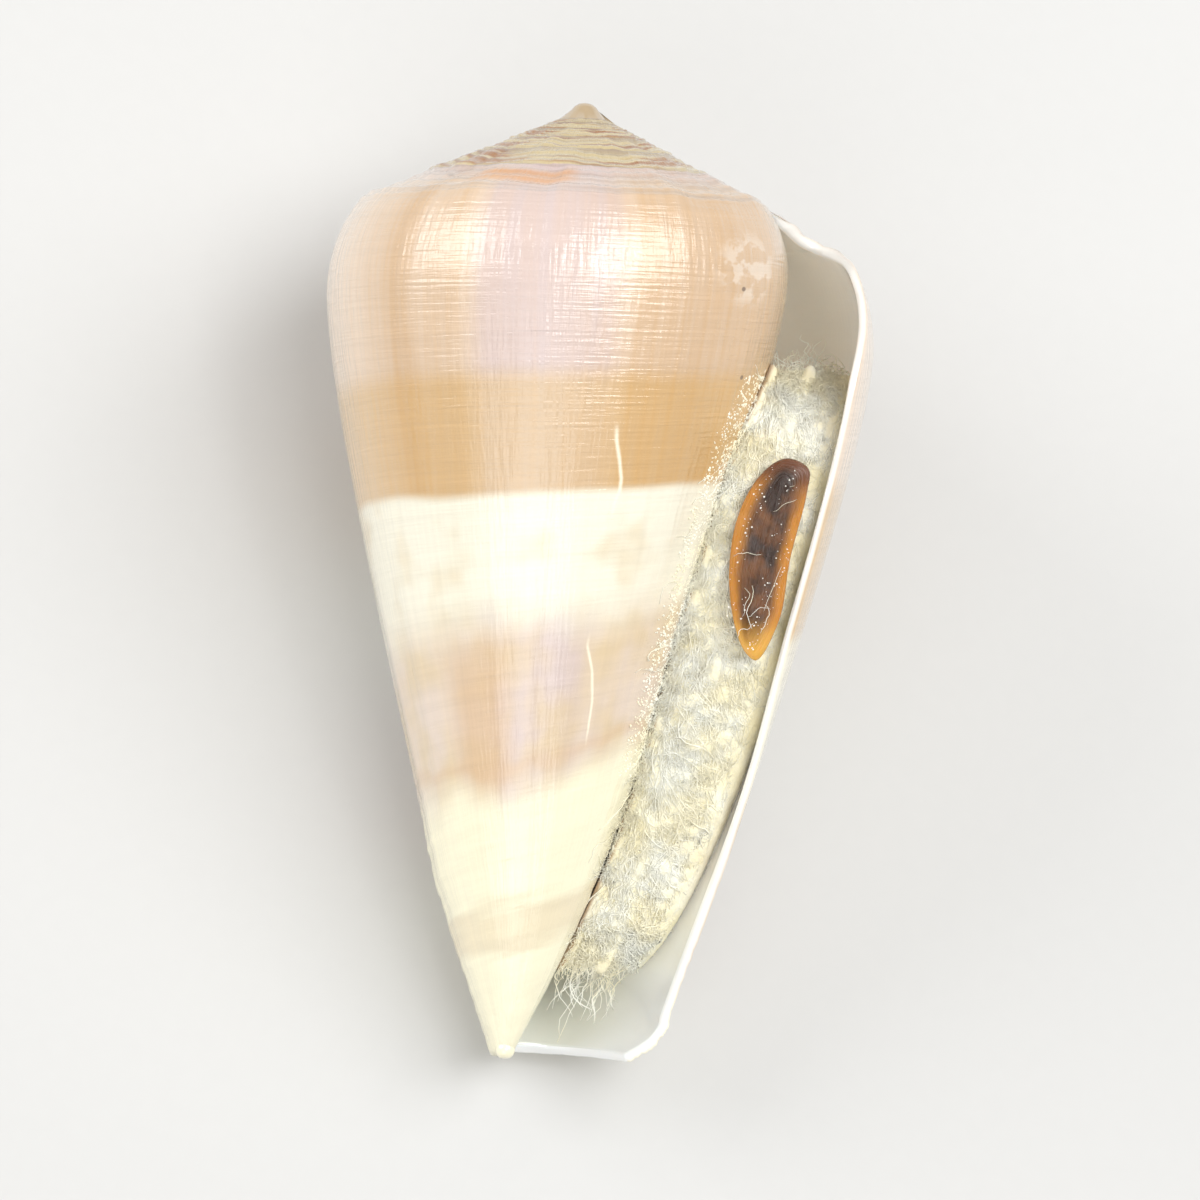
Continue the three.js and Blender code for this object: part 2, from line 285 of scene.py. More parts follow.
# Rows of the visual mesh
RAMP_ROWS, SHOULDER_ROWS, FLANK_ROWS, TAIL_ROWS = 22, 34, 76, 30
ROWS = outline(RAMP_ROWS, SHOULDER_ROWS, FLANK_ROWS)
JOIN = RAMP_ROWS + 1
LAST = len(ROWS) + TAIL_ROWS - 1
RINGS = 200
HOLLOW = 0.7  # turns back from the lip that are hollow
DEEP = int(HOLLOW * RINGS)
CAVITY_CORNER = 7.6  # rise at which the hollow starts on the whorl before
FIRST_INNER_ROW = 6
SEAM_DEPTH = 0.03
LIP_ROUNDING = ((0.25, 0.16), (0.5, 0.22), (0.75, 0.16))  # share of the way in, and push
RIM_ROUNDING = 0.06
TIP_KNOB = (-1.4, -0.05, -51.7)
TIP_KNOB_RADIUS = 0.54
TAIL_RISE = 12.0  # how far the rise runs on below the crease


def row_points(stage, rows):
    """Turn, radius, depth and rise of body rows at growth stages."""
    stage = np.asarray(stage, float)[..., None]
    rows = np.asarray(rows, float)
    outline_rows = np.minimum(rows, len(ROWS) - 1)
    y = np.interp(outline_rows, np.arange(len(ROWS)), ROWS[:, 1])
    depth = POLE_DEPTH + size(stage) * y
    for _ in range(3):
        turn = turn_at(stage, depth)
        depth = POLE_DEPTH + size(turn) * y
    along = unit((rows - (len(ROWS) - 1)) / TAIL_ROWS)
    base_turn = turn_at(stage, BASE_DEPTH)
    tail_depth = lerp(crease_depth(base_turn), end_depth(base_turn), along)
    tail_turn = turn_at(stage, tail_depth)
    in_tail = rows > len(ROWS) - 1
    depth = np.where(in_tail, tail_depth, depth)
    turn = np.where(in_tail, tail_turn, turn)
    radius = outer_radius(turn, depth)
    rise = np.where(in_tail, CREASE[1] + TAIL_RISE * along, y) + 0 * turn
    return turn, radius, depth, rise


def profile_normal(radius, depth):
    """Outward normal of each profile in the plane through the axis."""
    dr, dd = np.gradient(radius, axis=-1), np.gradient(depth, axis=-1)
    length = np.hypot(dr, dd) + 1e-9
    return dd / length, -dr / length


# The healed growth scar near the middle of the front, as rise and turn
SCAR = ((14, -0.789), (22.6, -0.789), (24.2, -0.7908), (25.7, -0.7955), (27, -0.799),
        (27.9, -0.799), (28.7, -0.7954), (29.7, -0.7946), (38.8, -0.7867), (40.7, -0.7963),
        (43, -0.8019), (46, -0.8018))


def relief(turn, rise, radius):
    """Height of the growth lines, threads and folds on the outside, in millimetres."""
    around = turn * GIRTH
    ramp = 1 - smooth(rise, 6.3, 8)
    base = smooth(rise, 47, 52)
    threads = 0.035 * ramp * np.cos((rise - 4.7) * 2 * np.pi / 0.55)
    threads = threads + 0.03 * smooth(rise, 36, 46) * np.cos(rise * 2 * np.pi / 1.15)
    growth = 0.05 * lattice(around * 0.5, rise * 0.05, 3)
    growth = growth + 0.02 * lattice(around * 2, rise * 0.1, 4)
    growth = growth * (1 + 2 * ramp)
    folds = 0.1 * base * lattice(rise * 1.1 + 3 * turn, turn * 6, 5)
    folds = folds + 0.05 * base * lattice(rise * 3.1 + 9 * turn, turn * 9, 6)
    scar = np.exp(-((turn - np.interp(rise, *np.transpose(SCAR))) * GIRTH / 0.18) ** 2)
    scar = scar * smooth(rise, 14, 20) * (1 - smooth(rise, 45, 47))
    fade = smooth(rise - 4.6, 0, 0.3)
    return (threads + growth + folds + 0.05 * scar) * np.minimum(1, radius / 6) * fade


GROWTH_MARKS = ("spin", "rise", "inside")  # turns, millimetres up the lip, 0 out to 1 in


def growth_marks(turn, rise, inside):
    return np.stack(np.broadcast_arrays(turn, rise, inside), -1)


class Shell:
    """The shell's surface, in parts that meet at shared vertices, marked with its growth."""

    def __init__(self):
        self.vertices = []
        self.faces = []
        self.marks = []

    def add(self, points):
        points = np.asarray(points, float)
        start = len(self.vertices)
        self.vertices.extend(points.reshape(-1, 3).tolist())
        return np.arange(start, len(self.vertices)).reshape(points.shape[:-1])

    def at(self, index):
        return np.array(self.vertices)[index]

    def face(self, corners, mark):
        self.faces.append([int(c) for c in corners])
        self.marks.extend([mark] * len(corners))

    def fan(self, loop, centre, mark):
        """Triangles from a closed loop of vertices to one in its middle."""
        for here, after in zip(loop, [*loop[1:], loop[0]]):
            if here != after:
                self.face([here, after, centre], mark)

    def grid(self, index, mark):
        """Quads over a grid of vertex numbers, with (turn, rise, inside) of each grid point."""
        for quad, corners in zip(cells(index).tolist(), cells(mark).tolist()):
            if len(set(quad)) > 2:
                keep = [i for i in range(4) if quad[i] != quad[i - 1]]
                self.faces.append([quad[i] for i in keep])
                self.marks.extend(corners[i] for i in keep)

    def mesh(self):
        mesh = new_mesh("shell_surface", self.vertices, self.faces)
        for label, values in zip(GROWTH_MARKS, np.transpose(self.marks)):
            attach(mesh, label, "CORNER", values)
        return mesh

    def outside(self):
        """All the whorls. Rings of the spire stop at the next suture."""
        stages = np.arange(-SPIRE_TURNS * RINGS, 1) / RINGS
        turn, radius, depth, rise = row_points(stages, np.arange(LAST + 1))
        # The suture row lies on the whorl before, where that whorl is on the same radius
        before = stages - 1
        turn[:, 0] = stages
        depth[:, 0] = POLE_DEPTH + size(before) * NEXT_SUTURE[1]
        radius[:, 0] = outer_radius(before, depth[:, 0])
        points = place(turn, radius, depth)
        normal = np.cross(np.gradient(points, axis=0), np.gradient(points, axis=1))
        normal /= np.linalg.norm(normal, axis=-1, keepdims=True) + 1e-12
        height = relief(turn, rise, radius)
        height[:, JOIN] -= SEAM_DEPTH
        points = points + normal * height[..., None]
        index = np.full(turn.shape, -1)
        spire = RINGS * (SPIRE_TURNS - 1)
        for i in range(len(stages)):
            last = LAST if i >= spire else JOIN
            index[i, 1:last + 1] = self.add(points[i, 1:last + 1])
            index[i, 0] = index[i - RINGS, JOIN] if i >= RINGS else self.add(points[i, :1])[0]
        marks = growth_marks(turn, rise, 0.0)
        self.grid(index[:spire + 1, :JOIN + 1], marks[:spire + 1, :JOIN + 1])
        self.grid(index[spire:], marks[spire:])
        self.rings = index
        self.lip_line = index[-1]
        self.lip_rise = rise[-1]
        self.ring_before = index[-1 - RINGS]

    def cavity(self):
        """The last whorl's inner face and, across the hollow, the face of the whorl before."""
        rises = ROWS[JOIN:JOIN + SHOULDER_ROWS, 1]
        self.corner = JOIN + int(np.argmin(np.abs(rises - CAVITY_CORNER)))
        stages = np.arange(-DEEP, 1) / RINGS
        rows = np.linspace(FIRST_INNER_ROW, LAST, LAST + 1 + JOIN - self.corner)
        turn, radius, depth, rise = row_points(stages, rows)
        across, down = profile_normal(radius, depth)
        wall = wall_at(turn, depth)
        radius, depth = radius - wall * across, depth - wall * down
        rows = np.arange(self.corner, LAST + 1)
        old_turn, old_radius, old_depth, old_rise = row_points(stages - 1, rows)
        glaze = INNER_GLAZE * smooth(-1 - old_turn, 0, 0.25) * thinner_at_base(old_depth)
        old_radius = old_radius + glaze
        ground = np.stack([np.interp(*ring) for ring in zip(depth, old_depth, old_radius)])
        radius = np.maximum(radius, ground + 0.03)
        self.old_face = np.full(old_radius.shape, -1)
        self.old_face[:-1] = self.add(place(old_turn, old_radius, old_depth)[:-1])
        self.old_face[-1] = self.ring_before[self.corner:]
        self.inner_face = np.full(radius.shape, -1)
        self.inner_face[:, 1:] = self.add(place(turn, radius, depth)[:, 1:])
        self.inner_face[:, 0] = self.old_face[:, 0]
        self.grid(self.old_face, growth_marks(old_turn, old_rise, 1.0))
        self.grid(self.inner_face[:, ::-1], growth_marks(turn, rise, 1.0)[:, ::-1])
        self.face([*self.inner_face[0], *self.old_face[0][::-1][:-1]], (-HOLLOW, 20, 1))

    def lip_edge(self):
        """The lip's cut edge, rounded between outside and inside, and a little chipped."""
        inner_line = np.concatenate([self.ring_before[JOIN:self.corner], self.inner_face[-1]])
        a, b = self.at(self.lip_line), self.at(inner_line)
        width = np.linalg.norm(b - a, axis=1, keepdims=True)
        ahead = np.cross(np.array([0, 0, 1.0]), a)
        ahead = -ahead / (np.linalg.norm(ahead, axis=1, keepdims=True) + 1e-9)
        chip = 0.05 * lattice(np.arange(len(a)) * 0.35, 0, 11)[:, None] * smooth(width, 0.1, 0.3)
        columns = [self.lip_line]
        for share, push in LIP_ROUNDING:
            line = lerp(a, b, share) + ahead * (push * np.minimum(width, 0.5) + chip)
            columns.append(np.concatenate([self.lip_line[:1], self.add(line[1:])]))
        columns.append(inner_line)
        self.edge = np.stack(columns, 0)
        inside = np.linspace(0, 1, len(columns))[:, None] * 0.6 + 0.2
        self.grid(self.edge, growth_marks(0.06, self.lip_rise, inside))

    def base_margin(self):
        """The rim of the siphon's notch, and the base closed round the axis."""
        outer, inner = self.rings[-1 - DEEP:, LAST], self.inner_face[:, -1]
        rim = [outer]
        for column, (share, _) in enumerate(LIP_ROUNDING, 1):
            line = lerp(self.at(outer), self.at(inner), share)
            line[:, 2] -= RIM_ROUNDING
            rim.append(np.concatenate([self.add(line[:-1]), [self.edge[column, -1]]]))
        rim = np.stack([*rim, inner], 0)
        self.grid(rim[:, ::-1], growth_marks(0 * rim, 60, 0.9))
        axis = place(0.0, 0.0, BASE_DEPTH + TIP_EXTRA + 0.05)
        loop = [*self.old_face[:-1, -1], *self.rings[-1 - RINGS:-DEEP, LAST], *rim[1:, 0]]
        self.fan(loop, self.add(axis[None])[0], (-0.9, 60, 0))

    def apex(self):
        """The first whorl, rounded over in rings that close on the axis."""
        mark = (-5.9, 5, 0)
        loop = [*self.rings[:RINGS + 1, 0], *self.rings[0, JOIN - 1:0:-1]]
        for radius, depth in APEX:
            x, y, _ = self.at(loop).T
            angles = [math.atan2(*pair) for pair in zip(y, x)]
            ring = []
            for k, angle in enumerate(angles):
                if k > RINGS:
                    ring.append(ring[0])
                elif k and abs(angle - angles[k - 1]) < 1e-4:
                    ring.append(ring[-1])
                else:
                    at = (radius * math.cos(angle), radius * math.sin(angle), -depth)
                    ring.append(int(self.add([at])[0]))
            closed = np.array([[*loop, loop[0]], [*ring, ring[0]]])
            self.grid(closed, np.broadcast_to(mark, (*closed.shape, 3)))
            loop = ring
        self.fan(loop, self.add(np.zeros((1, 3)))[0], mark)

    def columella_tip(self):
        """A small ball on the end of the columella."""
        angles = np.linspace(0, np.pi, 13), np.linspace(0, 2 * np.pi, 25)
        polar, azimuth = np.meshgrid(*angles, indexing="ij")
        ball = np.stack([np.sin(polar) * np.cos(azimuth), np.sin(polar) * np.sin(azimuth),
                         np.cos(polar)], -1)
        ball = TIP_KNOB_RADIUS * ball + np.array(TIP_KNOB)
        rows = self.add(ball[1:-1, :-1])
        top, bottom = self.add(ball[[0, -1], 0])
        index = np.vstack([0 * rows[:1] + top, rows, 0 * rows[:1] + bottom])
        index = np.concatenate([index, index[:, :1]], 1)
        self.grid(index, np.broadcast_to((-0.75, 60.0, 0.0), (*index.shape, 3)))


def shell_mesh():
    shell = Shell()
    shell.outside()
    shell.cavity()
    shell.lip_edge()
    shell.base_margin()
    shell.apex()
    shell.columella_tip()
    return shell.mesh()


def outward(mesh):
    """Turns the front of every face to the outside."""
    work = bmesh.new()
    work.from_mesh(mesh)
    bmesh.ops.recalc_face_normals(work, faces=work.faces)
    work.to_mesh(mesh)
    work.free()
    return mesh


def add_piece(name, mesh, material, node):
    """A visible piece of the object, in the place of the CAD node."""
    mesh.materials.append(material)
    piece = add_object(name, mesh)
    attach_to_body(piece, "root")
    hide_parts(node)
    return piece


def srgb(red, green, blue):
    """A shader's colour from the 0 to 255 values of a picture."""
    def linear(value):
        value /= 255
        return value / 12.92 if value <= 0.04045 else ((value + 0.055) / 1.055) ** 2.4
    return (linear(red), linear(green), linear(blue), 1.0)


class Value:
    """A number that shader nodes work out. Its sums and products are nodes too."""

    def __init__(self, graph, socket):
        self.graph = graph
        self.socket = socket

    def __add__(self, other):
        return self.graph.math("ADD", self, other)

    def __sub__(self, number):
        return self + -number

    def __mul__(self, other):
        return self.graph.math("MULTIPLY", self, other)


class Graph:
    """A material whose node tree is written as expressions."""

    def __init__(self, name, settings):
        self.material = bpy.data.materials.new(name)
        self.material.use_nodes = True
        self.tree = self.material.node_tree
        self.shader = self.tree.nodes["Principled BSDF"]
        for label, value in settings.items():
            self.put(label, value)

    def put(self, label, value):
        """Gives the surface shader's input of that name a value."""
        self.feed(self.shader.inputs[label], value)

    def feed(self, socket, value):
        if isinstance(value, Value):
            value = value.socket
        if isinstance(value, bpy.types.NodeSocket):
            self.tree.links.new(value, socket)
        elif isinstance(value, tuple) and socket.type == "VECTOR":
            socket.default_value = value[:3]
        else:
            socket.default_value = value

    def node(self, kind, *values, **settings):
        """A node with its first inputs fed in order."""
        made = self.tree.nodes.new(kind)
        for key, value in settings.items():
            setattr(made, key, value)
        for socket, value in zip(made.inputs, values):
            if value is not None:
                self.feed(socket, value)
        return made

    def math(self, operation, a, b=0.0):
        return Value(self, self.node("ShaderNodeMath", a, b, operation=operation).outputs[0])

    def attribute(self, name):
        made = self.node("ShaderNodeAttribute", attribute_name=name)
        return Value(self, made.outputs["Fac"])

    def vector(self, x, y, z):
        return self.node("ShaderNodeCombineXYZ", x, y, z).outputs[0]

    def place(self):
        return self.node("ShaderNodeTexCoord").outputs["Object"]

    def step(self, value, low, high):
        """0 below low and 1 above high, smooth between. low above high runs the other way."""
        made = self.node("ShaderNodeMapRange", value, low, high, interpolation_type="SMOOTHSTEP")
        return Value(self, made.outputs["Result"])

    def window(self, value, low, high, soft):
        return (self.step(value, low - soft, low + soft)
                * self.step(value, high + soft, high - soft))

    def line(self, value, at, width):
        return self.step(self.math("ABSOLUTE", value - at), width, 0.0)

    def noise(self, vector, scale, detail, roughness=0.5):
        made = self.node("ShaderNodeTexNoise", vector, None, scale, detail, roughness)
        return Value(self, made.outputs["Fac"])

    def ramp(self, value, stops):
        """A grey level from (position, level) stops."""
        made = self.node("ShaderNodeValToRGB", value)
        elements = made.color_ramp.elements
        while len(elements) > 1:
            elements.remove(elements[0])
        elements[0].position, elements[0].color = stops[0][0], (*[stops[0][1]] * 3, 1)
        for position, level in stops[1:]:
            elements.new(position).color = (level, level, level, 1)
        return Value(self, made.outputs["Color"])

    def mix(self, factor, a, b):
        made = self.node("ShaderNodeMix", data_type="RGBA")
        for socket, value in ((0, factor), (6, a), (7, b)):
            self.feed(made.inputs[socket], value)
        return made.outputs[2]

    def shade(self, colour, factor):
        """A colour times a grey factor."""
        made = self.node("ShaderNodeVectorMath", colour, operation="SCALE")
        self.feed(made.inputs["Scale"], factor)
        return made.outputs[0]

    def bump(self, height, distance, strength):
        normal = self.node("ShaderNodeBump", strength, distance, None, height).outputs[0]
        self.put("Normal", normal)
        self.put("Coat Normal", normal)


PEACH = srgb(234, 219, 204)
LILAC = srgb(207, 190, 188)
TAN = srgb(198, 162, 120)
STRONG_TAN = srgb(198, 156, 96)
PALE_TAN = srgb(214, 190, 146)
CREAM = srgb(238, 233, 214)
BASE_CREAM = srgb(244, 238, 208)
ORANGE = srgb(210, 176, 136)
RUST = srgb(150, 92, 44)
SPIRE_CREAM = srgb(198, 180, 138)
UMBER = srgb(96, 74, 58)
SUTURE_GREY = srgb(150, 132, 120)
GREY_LILAC = srgb(196, 176, 174)
FLAME = srgb(206, 144, 80)
LIP_WHITE = srgb(250, 247, 240)
WARM_WHITE = srgb(253, 236, 216)
SOFT_WHITE = srgb(252, 248, 240)
# Painted shade: the green grey deep in the mouth stands for the shade of the hollow
SHADE_GREEN_GREY = srgb(206, 208, 194)
COOL_WHITE = srgb(252, 254, 246)
SCAR_WHITE = srgb(255, 246, 222)

# Where each zone of colour takes over from the one above, as rises
BAND_FROM = (18.6, 20.6)
CREAM_FROM = (27.2, 28.1)
CLOUDS_FROM = (34.0, 39.5)
BASE_FROM = (45.6, 50.0)
RAMP_TO = (6.1, 5.0)

# How tan the shell is round its last whorl, from one turn back to the lip
TAN_ROUND = ((0.07, 0.85), (0.2, 0.85), (0.225, 0.4), (0.27, 0.15), (0.31, 0.25), (0.335, 0.75),
             (0.36, 0.7), (0.379, 1.0), (0.4, 0.75), (0.43, 0.5), (0.5, 0.3), (0.56, 0.6),
             (0.62, 0.3), (0.7, 0.75), (0.78, 0.45), (0.86, 0.7), (0.93, 0.3), (1.0, 0.25))

# Dark specks on the front, as turn, rise and radius in millimetres
SPECKS = ((-0.8874, 13.3, 0.22), (-0.906, 19.8, 0.22), (-0.93, 51.4, 0.2), (-0.965, 46.5, 0.15))

# The pale blotch at the shoulder, in the same way
BLOTCH = (-0.894, 11.8, 3.2)

# The growth scar's turns as the levels of a ramp, which holds only 0 to 1
SCAR_START = -0.81
SCAR_REACH = 0.03
RISE_TO_RAMP = 0.02
THREAD_PITCH = 0.47


class ShellPaint(Graph):
    """The shell's finish, drawn where it grew: by turns round the axis and rises up the lip."""

    def __init__(self):
        super().__init__("shell", {
            "IOR": 1.5, "Coat Weight": 1.0, "Coat Roughness": 0.05, "Coat IOR": 1.75,
            "Subsurface Scale": 0.004, "Subsurface Radius": (1.0, 0.85, 0.75)})
        self.spin, self.rise, self.inside = map(self.attribute, GROWTH_MARKS)
        self.around = self.spin * GIRTH
        self.broad = self.grain(0.12, 0.12, 1) - 0.5
        self.axial = self.grain(2.2, 0.06, 9, 3)
        self.cloud = self.grain(0.22, 0.2, 17)
        self.cords = self.step(self.grain(0.05, 4.5, 33), 0.5, 0.62)
        self.turn = self.spin + (self.grain(0.3, 0.1, 5) - 0.5) * 0.012
        self.wavy_rise = self.rise + self.broad * 0.9
        self.loose_rise = self.rise + self.broad * 6.0

    def grain(self, round_whorl, up_lip, seed, detail=2):
        """Noise stretched by its scales round the whorl and up the lip."""
        place = self.vector(self.around * round_whorl, self.rise * up_lip, seed)
        return self.noise(place, 1, detail)

    def spot(self, at_turn, at_rise, radius):
        """1 on a small round place of the shell."""
        off = self.vector(self.around - at_turn * GIRTH, self.rise - at_rise, 0.0)
        far = self.node("ShaderNodeVectorMath", off, operation="LENGTH").outputs["Value"]
        return self.step(far, radius, 0.5 * radius)

    def whorl(self):
        """The zones of the last whorl, from the ramp down to the base."""
        tan = self.ramp(self.turn + 1.0, TAN_ROUND) + (self.axial - 0.5) * 0.5
        ground = self.mix(self.window(self.turn, -0.785, -0.68, 0.012), PEACH, LILAC)
        upper = self.mix(tan * 0.95, ground, TAN)
        band = self.mix(tan * 0.75 + 0.22, self.mix(0.6, ground, PALE_TAN), STRONG_TAN)
        cream = self.mix(self.step(self.cloud, 0.5, 0.75) * 0.45, CREAM, PALE_TAN)
        colour = self.mix(self.step(self.wavy_rise, *BAND_FROM), upper, band)
        colour = self.mix(self.step(self.wavy_rise, *CREAM_FROM), colour, cream)
        clouds = self.clouds(ground, tan)
        colour = self.mix(self.step(self.loose_rise, *CLOUDS_FROM), colour, clouds)
        colour = self.mix(self.step(self.loose_rise, *BASE_FROM), colour, BASE_CREAM)
        folds = self.grain(0.05, 0.9, 21, 3)
        brown = self.window(self.rise + folds * 3.0, 55.6, 57.6, 0.5) * 0.3
        colour = self.mix(brown, colour, TAN)
        colour = self.mix(self.step(self.rise, *RAMP_TO) * 0.6, colour, GREY_LILAC)
        cords = self.cords * (self.step(self.rise, 7.4, 6.2) * 0.35)
        return self.mix(cords, colour, SUTURE_GREY)

    def clouds(self, ground, tan):
        """The lower zone: lilac and tan clouds, an orange patch and an orange line."""
        puffs = self.step(self.cloud, 0.3, 0.7) * 0.75
        colour = self.mix(puffs, self.mix(0.5, ground, LILAC), PALE_TAN)
        colour = self.mix(tan * 0.3, colour, PALE_TAN)
        patch = (self.window(self.turn, -0.7, -0.63, 0.02)
                 * self.window(self.loose_rise, 39.0, 47.0, 2.0))
        colour = self.mix(patch * 0.7, colour, ORANGE)
        return self.mix(self.line(self.loose_rise, 45.6, 1.1) * 0.35, colour, ORANGE)

    def spire(self, colour):
        """Cream with rusty flames, and grey lines under the sutures."""
        flames = self.step(self.grain(0.08, 1.9, 31, 3), 0.5, 0.62)
        flames = flames * self.step(self.rise, 7.2, 6.2)
        spire = self.mix(flames * 0.85, SPIRE_CREAM, RUST)
        spire = self.mix(self.step(self.rise, 5.2, 4.75) * 0.65, spire, SUTURE_GREY)
        spire = self.mix(self.cords * 0.45, spire, SUTURE_GREY)
        colour = self.mix(self.step(self.turn, -0.93, -1.05), colour, spire)
        last_flame = (self.window(self.turn, -0.745, -0.645, 0.012)
                      * self.window(self.wavy_rise, 5.0, 6.0, 0.3))
        return self.mix(last_flame * 0.75, colour, FLAME)

    def scars(self, colour):
        """The healed growth scar, the pale blotch and the specks."""
        course = self.ramp(self.rise * RISE_TO_RAMP,
                           [(rise * RISE_TO_RAMP, (turn - SCAR_START) / SCAR_REACH)
                            for rise, turn in SCAR])
        off_course = self.spin + (course * -SCAR_REACH - SCAR_START)
        shown = self.math("MAXIMUM", self.window(self.rise, 23.4, 29.4, 0.6),
                          self.window(self.rise, 38.6, 45.5, 1.0))
        scar = self.line(off_course, 0.0, 0.0027) * shown
        colour = self.mix(scar * 0.85, colour, SCAR_WHITE)
        torn = self.step(self.grain(0.8, 0.8, 19, 3), 0.46, 0.56)
        colour = self.mix(self.spot(*BLOTCH) * torn * 0.3, colour, LIP_WHITE)
        for speck in SPECKS:
            colour = self.mix(self.spot(*speck) * 0.8, colour, UMBER)
        return colour

    def fine_lines(self, colour):
        spiral = self.grain(0.07, 1.6, 13, 4)
        fine = (self.axial - 0.5) * 0.12 + (spiral - 0.5) * 0.16
        return self.shade(colour, fine + 1.0)

    def lip_and_mouth(self, colour):
        within = self.mix(self.step(self.spin, -0.06, 0.04), WARM_WHITE, SOFT_WHITE)
        # Painted shade: the mouth's inner face darkens to green grey deeper in, for the shade of
        # the hollow, and is cool white towards the lip
        mouth = self.mix(self.step(self.spin, -0.14, -0.02), SHADE_GREEN_GREY, COOL_WHITE)
        within = self.mix(self.step(self.rise, 40.0, 46.0), within, mouth)
        colour = self.mix(self.step(self.inside, 0.1, 0.45), colour, LIP_WHITE)
        return self.mix(self.step(self.inside, 0.65, 1.0), colour, within)

    def surface(self):
        """A coat over the weave of growth lines and threads, which is worn smoother low down."""
        wave = (self.rise + self.broad * 0.3) * (2 * math.pi / THREAD_PITCH)
        weave = self.grain(3.5, 0.35, 41, 3)
        ropes = self.grain(0.3, 4.0, 43, 3)
        height = self.math("SINE", wave) * 0.05 + weave * 1.3 + ropes * 1.1
        fresh = self.step(self.rise, 34.0, 18.0) * 0.6 + 0.4
        outside = self.step(self.inside, 0.3, 0.0) * 0.85 + 0.15
        self.bump(height * (fresh * outside), 0.00008, 0.7)
        self.put("Subsurface Weight", self.step(self.inside, 0.3, 0.8) * 0.9)
        self.put("Roughness", weave * 0.3 + 0.2)


def shell_material():
    paint = ShellPaint()
    colour = paint.spire(paint.whorl())
    colour = paint.fine_lines(paint.scars(colour))
    paint.put("Base Color", paint.lip_and_mouth(colour))
    paint.surface()
    return paint.material


# Painted shadow: the brown of the line where the cotton's edge meets the whorl
EDGE_SHADOW_BROWN = srgb(168, 130, 86)


def cotton_material(name, colour, shadow, shadowed_edge):
    g = Graph(name, {"Roughness": 0.85, "Sheen Weight": 0.3, "Sheen Roughness": 0.5})
    tone = g.noise(g.place(), 420.0, 3.0)
    wool = g.mix(g.step(tone, 0.35, 0.65), shadow, colour)
    if shadowed_edge:
        # Painted shadow: a brown line along the wad's edge at the whorl, where across is near 0
        edge = g.attribute("across") + (tone - 0.5) * 0.08
        wool = g.mix(g.step(edge, 0.05, 0.01) * 0.8, wool, EDGE_SHADOW_BROWN)
    g.put("Base Color", wool)
    g.bump(g.noise(g.place(), 5200.0, 4.0, 0.7), 0.0001, 0.8)
    return g.material


RIM_AMBER = srgb(190, 124, 30)
LOW_AMBER = srgb(214, 160, 62)
TOP_BROWN = srgb(104, 58, 26)
HORN = srgb(112, 68, 30)
DARK_HORN = srgb(48, 26, 12)


def operculum_material():
    """Dark horn, amber at the rim. inset runs from the rim inwards and along up the plate."""
    g = Graph("operculum", {"IOR": 1.45, "Coat Weight": 0.4, "Coat Roughness": 0.06,
                            "Subsurface Weight": 0.2, "Subsurface Scale": 0.0006})
    inset, along = g.attribute("inset"), g.attribute("along")
    cloud = g.noise(g.place(), 650.0, 3.0) - 0.5
    amber = g.mix(g.step(along, -4.6, -2.8), LOW_AMBER, RIM_AMBER)
    amber = g.mix(g.step(along, 3.0, 4.8), amber, TOP_BROWN)
    deep = g.step(inset + cloud * 0.5, 0.12, 0.55) * g.step(along + cloud * 2.0, -5.2, -3.0)
    g.put("Base Color", g.mix(deep, amber, g.mix(g.step(cloud, -0.12, 0.15), DARK_HORN, HORN)))
    rings = g.noise(g.vector(inset * 26.0, along * 0.6, 0.0), 1.0, 3.0)
    g.bump(rings, 0.00014, 0.8)
    g.put("Roughness", rings * 0.2 + 0.12)
    return g.material


def plain_material(name, colour, roughness, mottle):
    g = Graph(name, {"Roughness": roughness})
    tone = g.noise(g.place(), 900.0, 2.0) - 0.5
    g.put("Base Color", g.shade(colour, tone * mottle + 1.0))
    return g.material


# The cotton wool and the operculum in it
PLATE_THICKNESS = 0.45
PLATE_MIDDLE = (11.7, -5.75, -24.3)
PLATE_TILT = 9.7
PLATE_OUTLINE = (
    (-0.75, 5.44), (0.55, 5.15), (0.75, 3.9), (0.67, 0.2), (0.83, -3.1), (0.12, -5.48),
    (-0.55, -5.2), (-1.4, -4), (-2.35, -1.3), (-2.58, 1.9), (-1.85, 4.35))
COTTON_TOP, COTTON_BOTTOM, COTTON_BACK = 14.0, 47.0, -0.2
COTTON_BULGE = 0.45
WALL_RECESS = -0.034  # turns from the lip's edge back to the cotton at the lip's wall
SNUG = 0.03
CORE_CELLS = (28, 190, 10)


def cavity_span(turn, depth, margin):
    """Radius of the earlier whorl's face and of the wall's face, each less a margin."""
    wall = wall_at(turn, depth) + margin
    down = smooth(depth, crease_depth(turn) - 3, crease_depth(turn) + 1)
    outer = outer_radius(turn, depth + 0.8 * wall * down) - wall
    glaze = lerp(LIP_GLAZE, INNER_GLAZE, thickened(turn, depth))
    return outer_radius(turn - 1, depth) + glaze + margin, outer


